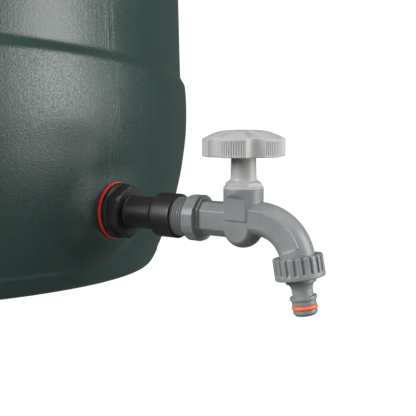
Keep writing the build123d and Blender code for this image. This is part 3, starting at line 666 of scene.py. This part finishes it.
def lid_shape(radius, height, angle):
    """Grip lugs round the skirt, shallow ribs on the crown and a hair of sag in its middle."""
    turn = from_nearest(angle - GRIP_ANGLE, LID_GRIPS)
    lug = 1 - smoothstep(GRIP_SWING - math.radians(1), GRIP_SWING + math.radians(1), turn)
    rise = height - LID_SKIRT_Z
    tall = smoothstep(-0.1, 0.4, rise) * (1 - smoothstep(GRIP_TALL - 1, GRIP_TALL + 1, rise))
    low = (radius > LID_R - 1.2) & (rise < GRIP_TALL + 2)
    radius = np.where(low, radius + GRIP_REACH * lug * np.maximum(tall, GRIP_LIP * (rise < 0.4)), radius)
    on_top = (height > LID_TOP - 2.5) & (radius < LID_CROWN_R - 8)
    off = from_nearest(angle, LID_RIBS) * radius
    from_foot = smoothstep(RIB_FOOT_R, RIB_FOOT_R + 10, radius)
    to_end = 1 - smoothstep(RIB_END_R - 10, RIB_END_R, radius)
    rib = (1 - smoothstep(3.0, 5.5, off)) * from_foot * to_end
    inner, outer = HUB_RING_R - HUB_RING_WIDTH / 2, HUB_RING_R + HUB_RING_WIDTH / 2
    hub = smoothstep(inner, inner + 4, radius) - smoothstep(outer - 4, outer, radius)
    sunk = smoothstep(LID_CROWN_R - 12, LID_CROWN_R - 16, radius)
    raised = np.clip(rib + hub, 0, 1)
    height = np.where(on_top, height - PANEL_DEPTH * sunk * (1 - raised), height)
    return radius, height


lid_outline = bend([
    (0, LID_TOP, 0), (LID_CROWN_R, LID_TOP, 3), (LID_CROWN_R + 6, RIM_Z + LID_WALL, 4),
    (LID_R, RIM_Z + LID_WALL, 2.5), (LID_R, LID_SKIRT_Z, 1.0), (LID_R - LID_WALL, LID_SKIRT_Z, 1.0),
    (LID_R - LID_WALL, RIM_Z, 1.5), (LID_PLUG_R, RIM_Z, 0.5), (LID_PLUG_R, LID_PLUG_Z, 1.0),
    (LID_PLUG_R - LID_WALL, LID_PLUG_Z, 1.0), (LID_PLUG_R - LID_WALL, RIM_Z, 1.0),
    (LID_CROWN_R + 3, RIM_Z, 3), (LID_CROWN_R - LID_WALL, RIM_Z + LID_CROWN_HEIGHT, 3),
    (0, RIM_Z + LID_CROWN_HEIGHT, 0),
])


def lid_spacing(radius, height):
    """Closer points on the ribbed crown and the skirt than elsewhere."""
    if radius < LID_CROWN_R and height > LID_TOP - 1:
        return 2.5
    return 1.6 if radius > LID_R - 2 else 8.0


lid = turned("lid_cover", spaced(lid_outline, lid_spacing, closed=False), UPRIGHT, lid_green, LID_STEPS,
             lid_shape, closed=False)
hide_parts("lid")
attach(lid, "lid")


# ---------------------------------------------------------------- connector and extension

FLANGE_BACK, FLANGE_R, SEAL_R = -2.7, 19.8, 20.3
CONNECTOR_FLATS, HEX_LENGTH = 33.4, 9.0
HEX_CORNER = hexagon_corner(CONNECTOR_FLATS)
TAIL_END, TAIL_CREST, SEAL_BORE = -29.0, 13.1, 13.5
THREAD_DEPTH, PITCH, THREAD_FADE = 1.1, 1.814, 1.5
CONNECTOR_STEPS = 180
CONNECTOR_BORE, SPIGOT_R, SPIGOT_START = 8.0, 9.9, -4.0
TUBE_R, TUBE_END, SOCKET_START, SOCKET_END = 11.2, 32.2, 35.2, 50.5
SOCKET_R, SOCKET_BORE, SOCKET_FLOOR = 15.0, 13.35, 38.5


def thread_ridge(along, angle, steepness):
    """How high a helical thread stands: 0 in its root and 1 on its crest."""
    phase = (along / PITCH - angle / TAU) % 1.0
    return np.clip(steepness * (1 - abs(2 * phase - 1)) - 0.15, 0, 1)


seal_back, seal_front = PAD_FACE + 0.02, FLANGE_BACK - 0.02
seal_outline = bend([
    (SEAL_BORE, seal_back, 0.3), (SEAL_R, seal_back, 0.7),
    (SEAL_R, seal_front, 0.7), (SEAL_BORE, seal_front, 0.3),
])
seal = turned("red_seal", seal_outline, TAP, red_rubber, PLAIN_STEPS)
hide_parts("outlet_seal")
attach(seal, "barrel")


def connector_shape(radius, height, angle):
    """The tail's thread and the hexagon."""
    thread_end = PAD_FACE - 1
    fade_in = smoothstep(TAIL_END, TAIL_END + THREAD_FADE, height)
    share = fade_in * (1 - smoothstep(thread_end - THREAD_FADE, thread_end, height))
    target = TAIL_CREST - THREAD_DEPTH * (1 - thread_ridge(height, angle, 1.6))
    on_tail = (radius > TAIL_CREST - 0.05) & (height > TAIL_END) & (height < thread_end)
    radius = np.where(on_tail, radius + (target - radius) * share, radius)
    on_hexagon = (height > 0.5) & (radius > CONNECTOR_FLATS / 2 - 3)
    hexagon = hexagon_radius(angle, CONNECTOR_FLATS, -TAP_ROLL, 0.35)
    return np.where(on_hexagon, np.minimum(radius, hexagon), radius), height


def connector_spacing(radius, height):
    """Closer points along the tail's thread."""
    return 0.25 if height < 1 and radius > 13 else 1.0


connector_outline = bend([
    (CONNECTOR_BORE, TAIL_END, 0.4), (TAIL_CREST, TAIL_END, 0.8), (TAIL_CREST, FLANGE_BACK, 0.1),
    (FLANGE_R, FLANGE_BACK, 0.5), (FLANGE_R, -0.1, 0.9), (HEX_CORNER, 0.5, 0.2), (HEX_CORNER, 7.9, 0.6),
    (CONNECTOR_FLATS / 2 - 0.6, HEX_LENGTH, 0.4), (SPIGOT_R + 0.1, HEX_LENGTH, 0.3),
    (SPIGOT_R + 0.1, SPIGOT_START, 0.1), (CONNECTOR_BORE, SPIGOT_START, 0.2),
])
connector = turned("tank_fitting", spaced(connector_outline, connector_spacing), TAP, black_plastic,
                   CONNECTOR_STEPS, connector_shape)
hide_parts("tank_connector")
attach(connector, "barrel")

shoulder = HEX_LENGTH + 0.02
extension_outline = bend([
    (CONNECTOR_BORE, SPIGOT_START + 0.1, 0.3), (SPIGOT_R, SPIGOT_START + 0.1, 0.4), (SPIGOT_R, 1.0, 0.1),
    (SPIGOT_R - 1.2, 1.0, 0.1), (SPIGOT_R - 1.2, 3.0, 0.1), (SPIGOT_R, 3.0, 0.1), (SPIGOT_R, shoulder, 0.1),
    (TUBE_R + 0.8, shoulder, 0.3), (TUBE_R + 0.8, HEX_LENGTH + 1.4, 0.5), (TUBE_R, HEX_LENGTH + 1.9, 0.5),
    (TUBE_R, TUBE_END, 1.5), (SOCKET_R, SOCKET_START, 2.0), (SOCKET_R, SOCKET_END, 0.5),
    (SOCKET_BORE, SOCKET_END, 0.4), (SOCKET_BORE, SOCKET_FLOOR, 0.1), (CONNECTOR_BORE, SOCKET_FLOOR, 0.1),
])
extension = turned("extension_tube", spaced(extension_outline, 2.0), TAP, black_plastic, PLAIN_STEPS)
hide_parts("extension_socket")
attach(extension, "barrel")


# ---------------------------------------------------------------- tap body

INLET_START, COLLAR_START, INLET_CREST = 40.5, 60.7, 13.15
CASTING_VOXEL, CASTING_ROUNDS = 0.34, 6


def inlet_thread(points):
    """Winds the inlet's plain ridges into a helix."""
    local = in_frame(TAP, points)
    radius = np.hypot(local[:, 0], local[:, 1])
    angle = np.arctan2(local[:, 1], local[:, 0])
    along = local[:, 2]
    on_thread = (along > INLET_START + 0.5) & (along < COLLAR_START - 0.35) & (radius > 10.5) & (radius < 14)
    target = INLET_CREST - THREAD_DEPTH * (1 - thread_ridge(along, angle, 1.5))
    local[:, :2] *= np.where(on_thread, target / np.maximum(radius, 1), 1.0)[:, None]
    return in_world(TAP, local)


tap = moulded("tap_body", "tap_casting", tap_grey, CASTING_VOXEL, CASTING_ROUNDS, inlet_thread)
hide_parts("tap_body")
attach(tap, "barrel")


# ---------------------------------------------------------------- bonnet

CHAMBER_TOP, BONNET_TOP = 21.2, 43.2
BONNET_NECK_START, BONNET_NECK_R, BONNET_NECK_TOP_R = 26.9, 8.2, 7.8
BONNET_FLANGE_R, BONNET_FLANGE_EDGE, BONNET_FLANGE_TOP = 12.8, 21.9, 22.5
BONNET_FLATS, BONNET_HEX_TOP = 21.4, 24.7
BONNET_CORNER = hexagon_corner(BONNET_FLATS)
BONNET_TURN = math.radians(9)
BONNET_STEPS = 168
BONNET_FOOT, BONNET_PLUG_R, BONNET_PLUG_BORE = 13.5, 9.1, 7.6
BONNET_THREAD_R, BONNET_THREAD_TOP, BONNET_BORE = 5.2, 32.5, 4.05


def bonnet_shape(radius, height, angle):
    """The hexagon above the bonnet's flange."""
    hexagon = hexagon_radius(angle, BONNET_FLATS, BONNET_TURN + TAU / 12, 0.2)
    on_hexagon = (height > BONNET_FLANGE_TOP + 0.05) & (radius > BONNET_NECK_R + 1.5)
    return np.where(on_hexagon, np.minimum(radius, hexagon), radius), height


bonnet_outline = bend([
    (BONNET_PLUG_BORE, BONNET_FOOT, 0.3), (BONNET_PLUG_R, BONNET_FOOT, 0.3),
    (BONNET_PLUG_R, CHAMBER_TOP, 0.1), (BONNET_FLANGE_R, CHAMBER_TOP, 0.2),
    (BONNET_FLANGE_R, BONNET_FLANGE_EDGE, 0.3),
    (BONNET_CORNER, BONNET_FLANGE_TOP, 0.2), (BONNET_CORNER, BONNET_HEX_TOP - 0.5, 0.4),
    (BONNET_NECK_R + 0.7, BONNET_NECK_START - 0.6, 1.0), (BONNET_NECK_R, BONNET_NECK_START + 0.9, 0.8),
    (BONNET_NECK_TOP_R, BONNET_TOP, 0.5), (BONNET_BORE, BONNET_TOP, 0.3),
    (BONNET_BORE, BONNET_THREAD_TOP, 0.1), (BONNET_THREAD_R, BONNET_THREAD_TOP, 0.1),
    (BONNET_THREAD_R, BONNET_FLANGE_TOP, 0.2), (BONNET_PLUG_BORE, CHAMBER_TOP - 0.5, 0.2),
])
bonnet = turned("bonnet_cap", spaced(bonnet_outline, 0.9), SPINDLE, light_grey, BONNET_STEPS, bonnet_shape)
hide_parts("bonnet")
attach(bonnet, "barrel")


# ---------------------------------------------------------------- handwheel

WHEEL_R, WHEEL_FOOT, WHEEL_EDGE = 26.1, 41.6, 52.5
WHEEL_DOME = ((0, 5.45), (6.0, 5.45), (12.4, 5.2), (15.6, 4.6), (19.8, 3.1), (23.9, 1.15), (26.1, 0))
WHEEL_HOLLOW_R, WHEEL_HOLLOW_TOP, WHEEL_HUB_R = 21.5, 50.5, 6.5
SPINDLE_SHOULDER, SPINDLE_TOP, SPINDLE_SQUARE = 43.6, 51.5, 5.2
WHEEL_LOBES = 6
WHEEL_STEPS = 720
LOBE_ANGLE = math.radians(-14.7)
SCALLOP_R, SCALLOP_DEPTH = 8.5, 3.0
RIB_PITCH, RIB_HEIGHT = 1.5, 0.45
RIBBED_HALF = 6.9
FLUTE_DEPTH, FLUTE_NARROW, FLUTE_WIDER, FLUTE_CURVE = 1.7, 1.0, 5.6, 1.3
dome_table = blurred(spaced(np.array(WHEEL_DOME), 0.5, closed=False), 3)


def dome(radius):
    """The height of the dome's unfluted surface."""
    return WHEEL_EDGE + np.interp(radius, dome_table[:, 0], dome_table[:, 1])


def wheel_rim(angle):
    """The handwheel's lobed outline, and how far each angle is from the nearest hollow's middle."""
    part = TAU / WHEEL_LOBES
    off = (angle - LOBE_ANGLE) % part - part / 2
    centre = WHEEL_R - SCALLOP_DEPTH + SCALLOP_R
    across = centre * np.sin(off)
    scallop = centre * np.cos(off) - np.sqrt(np.maximum(SCALLOP_R**2 - across**2, 0))
    in_scallop = np.abs(across) < SCALLOP_R
    return np.where(in_scallop, np.minimum(scallop, WHEEL_R), WHEEL_R), off


def wheel_shape(radius, height, angle):
    """Lobes, scallops, the grip ribs on the lobes and the flutes over the dome."""
    rim, off = wheel_rim(angle)
    top = radius / WHEEL_R
    outside = (np.arange(radius.shape[0])[:, None] < wheel_rows) & (radius > 0)
    new_radius = radius * np.where(outside, rim / WHEEL_R, 1.0)
    raised = dome(new_radius) - dome(radius)
    share = smoothstep(WHEEL_EDGE - 1.6, WHEEL_EDGE, height)
    width = FLUTE_NARROW + FLUTE_WIDER * top**FLUTE_CURVE
    depth = FLUTE_DEPTH * smoothstep(0.15, 0.55, top) * (1 - 0.6 * smoothstep(0.7, 1.0, top))
    flute = depth * np.clip(1 - (new_radius * off / width) ** 2, 0, 1)
    new_height = np.where(outside, height + share * (raised - flute), height)
    lobe_off = from_nearest(angle - LOBE_ANGLE, WHEEL_LOBES) * WHEEL_R
    wave = 0.5 + 0.5 * np.cos(TAU * lobe_off / RIB_PITCH)
    on_lobe = 1 - smoothstep(RIBBED_HALF - 0.3, RIBBED_HALF + 0.3, lobe_off)
    upright = smoothstep(0.5, 1.2, height - WHEEL_FOOT) * (1 - smoothstep(-1.6, -0.9, height - WHEEL_EDGE))
    ribbed = outside & (height < WHEEL_EDGE) & (radius > WHEEL_R - 0.6)
    new_radius = np.where(ribbed, new_radius - RIB_HEIGHT * (1 - wave) * on_lobe * upright, new_radius)
    return new_radius, new_height


def wheel_outline():
    """The outline in two parts: the dome's top down to the skirt's edge, and on into the hollow."""
    over = [(r, dome(r), 0) for r in np.linspace(0, WHEEL_R - 0.8, 34)]
    skirt = [(WHEEL_R, WHEEL_EDGE, 0.9), (WHEEL_R, WHEEL_FOOT, 0.7), (WHEEL_R - 2.2, WHEEL_FOOT, 0.6)]
    outer = bend(over + skirt)
    socket_r = SPINDLE_SQUARE * 0.75
    socket_end = SPINDLE_TOP + 0.3
    hollow = bend([
        (WHEEL_HOLLOW_R, WHEEL_FOOT + 1.5, 0.6), (WHEEL_HOLLOW_R, WHEEL_HOLLOW_TOP, 1.5),
        (WHEEL_HUB_R, WHEEL_HOLLOW_TOP, 1.0), (WHEEL_HUB_R, SPINDLE_SHOULDER, 0.5),
        (socket_r, SPINDLE_SHOULDER, 0.2), (socket_r, socket_end, 0.2), (0, socket_end, 0),
    ])
    return spaced(outer, 0.8, closed=False), spaced(hollow, 1.5, closed=False)


wheel_outer, wheel_inner = wheel_outline()
wheel_rows = len(wheel_outer)
handwheel = turned("handwheel_knob", np.concatenate([wheel_outer, wheel_inner]), SPINDLE, light_grey,
                   WHEEL_STEPS, wheel_shape, closed=False)
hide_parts("handwheel")
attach(handwheel, "wheel")


# ---------------------------------------------------------------- ring nut and hose nose

NUT_TOP, NUT_BOTTOM, NUT_LIP, NUT_R = -1.5, 12.0, 10.8, 15.5
NUT_GROOVES, GROOVE_DEPTH, GROOVE_WIDTH, NUT_BAND = 20, 1.2, 2.2, 2.7
NUT_BORE, NUT_MOUTH, NUT_EXIT = 10.9, 11.3, 9.6
NUT_STEPS = 22 * NUT_GROOVES


def nut_shape(radius, height, angle):
    """Grip grooves that start at the nut's top and stop at its plain band."""
    off = from_nearest(angle, NUT_GROOVES) * NUT_R
    groove = 1 - smoothstep(GROOVE_WIDTH / 2 - 0.35, GROOVE_WIDTH / 2 + 0.3, off)
    end = NUT_BOTTOM - NUT_BAND
    reach = 1 - smoothstep(end - 0.9, end, height)
    outside = radius > NUT_R - 1.0
    return np.where(outside, radius - GROOVE_DEPTH * groove * reach, radius), height


nut_outline = bend([
    (NUT_MOUTH, NUT_TOP, 0.4), (NUT_R, NUT_TOP, 0.7), (NUT_R, NUT_BOTTOM, 0.8), (NUT_EXIT, NUT_BOTTOM, 0.4),
    (NUT_EXIT, NUT_LIP, 0.2), (NUT_BORE, NUT_LIP, 0.3), (NUT_BORE, 1.2, 0.3), (NUT_MOUTH, 0.6, 0.3),
])
ring_nut = turned("hose_nut", spaced(nut_outline, 0.5), OUTLET, tap_grey, NUT_STEPS, nut_shape)
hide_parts("ring_nut")
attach(ring_nut, "nut")

NOSE_FLANGE_R, NOSE_COLLAR_R, NOSE_NECK_R, NOSE_BORE = 10.6, 9.4, 6.5, 4.5
WASHER_END, NOSE_COLLAR_END, NOSE_NECK_START = 9.3, 14.9, 19.6
NOSE_RING_START, NOSE_RING_END, NOSE_RING_R = 23.1, 25.3, 8.35
NOSE_TIP_R, GROOVE_START, GROOVE_END, GROOVE_R, NOSE_END = 7.5, 28.6, 31.4, 6.2, 35.0


def nose_taper():
    """The hollow curve from the nose's collar in to its neck."""
    depth, length = NOSE_COLLAR_R - NOSE_NECK_R, NOSE_NECK_START - NOSE_COLLAR_END
    return [
        (NOSE_COLLAR_R - depth * math.sin(t), NOSE_COLLAR_END + length * (1 - math.cos(t)), 0)
        for t in np.linspace(0, math.pi / 2, 9)[1:-1]
    ]


nose_outline = bend([
    (NOSE_BORE, WASHER_END, 0.2), (NOSE_FLANGE_R, WASHER_END, 0.2), (NOSE_FLANGE_R, NUT_LIP, 0.2),
    (NOSE_COLLAR_R, NUT_LIP, 0.1), (NOSE_COLLAR_R, NOSE_COLLAR_END, 0.4), *nose_taper(),
    (NOSE_NECK_R, NOSE_NECK_START, 0.3), (NOSE_NECK_R, NOSE_RING_START, 0.3),
    (NOSE_RING_R, NOSE_RING_START, 0.5), (NOSE_RING_R, NOSE_RING_END, 0.5),
    (NOSE_TIP_R, NOSE_RING_END + 0.2, 0.2), (NOSE_TIP_R, GROOVE_START, 0.25),
    (GROOVE_R, GROOVE_START, 0.1), (GROOVE_R, GROOVE_END, 0.1), (NOSE_TIP_R, GROOVE_END, 0.25),
    (NOSE_TIP_R, NOSE_END - 1.5, 0.8), (NOSE_TIP_R - 1.5, NOSE_END, 0.8), (NOSE_BORE, NOSE_END, 0.4),
])
nose = turned("hose_plug", spaced(nose_outline, 1.0), OUTLET, tap_grey, PLAIN_STEPS)
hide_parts("hose_nose")
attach(nose, "nose")

O_RING_R, O_RING_OUT, O_RING_SQUASH = 1.3, 8.05, 0.72
turns = np.linspace(0, TAU, 24, endpoint=False)
middle = (GROOVE_START + GROOVE_END) / 2
o_ring_outline = np.stack([O_RING_OUT - O_RING_R * (1 - np.cos(turns)) * O_RING_SQUASH,
                           middle + O_RING_R * np.sin(turns)], 1)
o_ring = turned("orange_o_ring", o_ring_outline, OUTLET, orange_rubber, PLAIN_STEPS)
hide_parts("nose_o_ring")
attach(o_ring, "nose")


# ---------------------------------------------------------------- floor, light and camera

CAMERA_PLACE = Vector((0.573, -0.387, 0.092))
CAMERA_FORWARD = Vector((-0.533, 0.846, 0))
CAMERA_PITCH = math.radians(-3.0)
CAMERA_LENS = 60.6

FLOOR_SIZE, FLOOR_DROP, FLOOR_GLOW = 12.0, 0.0003, 1.08
SKY_LIGHT, SKY_SEEN = 0.17, 1.1

# Name, place, target, size and power of each soft light, in metres and watts
LIGHTS = (
    ("side_softbox", (1.03, 0.215, 0.31), (0.25, -0.02, 0.28), (0.50, 0.70), 8.6),
    ("top_softbox", (0.45, -0.4, 1.7), (0.3, 0, 0.1), (1.2, 1.2), 10),
    ("left_fill", (-0.70, -1.65, 0.9), (0.3, 0, 0.1), (1.3, 1.0), 68),
    ("floor_bounce", (0.85, -0.45, -0.45), (0.38, -0.02, 0.05), (0.7, 0.7), 0.8),
)


def floor():
    """A broad pale floor. Light from below the horizon passes it, as if the floor itself gave it back."""
    corners = [(-1, -1), (1, -1), (1, 1), (-1, 1)]
    obj = piece("floor", [(x * FLOOR_SIZE, y * FLOOR_SIZE, 0) for x, y in corners], [(0, 1, 2, 3)],
                floor_material(), smooth=False)
    obj.location.z = -FLOOR_DROP


def floor_material():
    """White to the eye and clear to every other ray."""
    s = Shader("floor")
    s.nodes.remove(s.surface)
    glow = s.nodes.new("ShaderNodeEmission")
    clear = s.nodes.new("ShaderNodeBsdfTransparent")
    shown = s.nodes.new("ShaderNodeMixShader")
    path = s.nodes.new("ShaderNodeLightPath")
    glow.inputs["Strength"].default_value = FLOOR_GLOW
    s.links.new(path.outputs["Is Camera Ray"], shown.inputs[0])
    s.links.new(clear.outputs[0], shown.inputs[1])
    s.links.new(glow.outputs[0], shown.inputs[2])
    s.links.new(shown.outputs[0], s.nodes["Material Output"].inputs["Surface"])
    return s.material


def area_light(name, place, target, size, power):
    """A rectangular light at a place, turned to its target."""
    light = bpy.data.lights.new(name, "AREA")
    light.shape = "RECTANGLE"
    light.size, light.size_y = size
    light.energy = power
    obj = bpy.data.objects.new(name, light)
    obj.location = place
    obj.rotation_euler = (Vector(target) - Vector(place)).to_track_quat("-Z", "Y").to_euler()
    bpy.context.scene.collection.objects.link(obj)


def surroundings():
    """White to the eye, and a softer grey as light."""
    world = bpy.data.worlds.new("studio")
    bpy.context.scene.world = world
    world.use_nodes = True
    nodes, links = world.node_tree.nodes, world.node_tree.links
    background = nodes["Background"]
    path = nodes.new("ShaderNodeLightPath")
    strength = nodes.new("ShaderNodeMapRange")
    strength.inputs["To Min"].default_value = SKY_LIGHT
    strength.inputs["To Max"].default_value = SKY_SEEN
    links.new(path.outputs["Is Camera Ray"], strength.inputs["Value"])
    links.new(strength.outputs["Result"], background.inputs["Strength"])
    background.inputs["Color"].default_value = (1, 1, 1, 1)


def camera():
    """The camera, low in front of the tap and level but for a slight pitch."""
    data = bpy.data.cameras.new("camera")
    data.sensor_width = 36.0
    data.lens = CAMERA_LENS
    data.clip_start = 0.01
    obj = bpy.data.objects.new("camera", data)
    bpy.context.scene.collection.objects.link(obj)
    forward = CAMERA_FORWARD.normalized() * math.cos(CAMERA_PITCH) + Vector((0, 0, math.sin(CAMERA_PITCH)))
    obj.location = CAMERA_PLACE
    obj.rotation_euler = forward.to_track_quat("-Z", "Y").to_euler()
    bpy.context.scene.camera = obj


floor()
surroundings()
for light in LIGHTS:
    area_light(*light)
camera()
bpy.context.scene.view_settings.view_transform = "Standard"
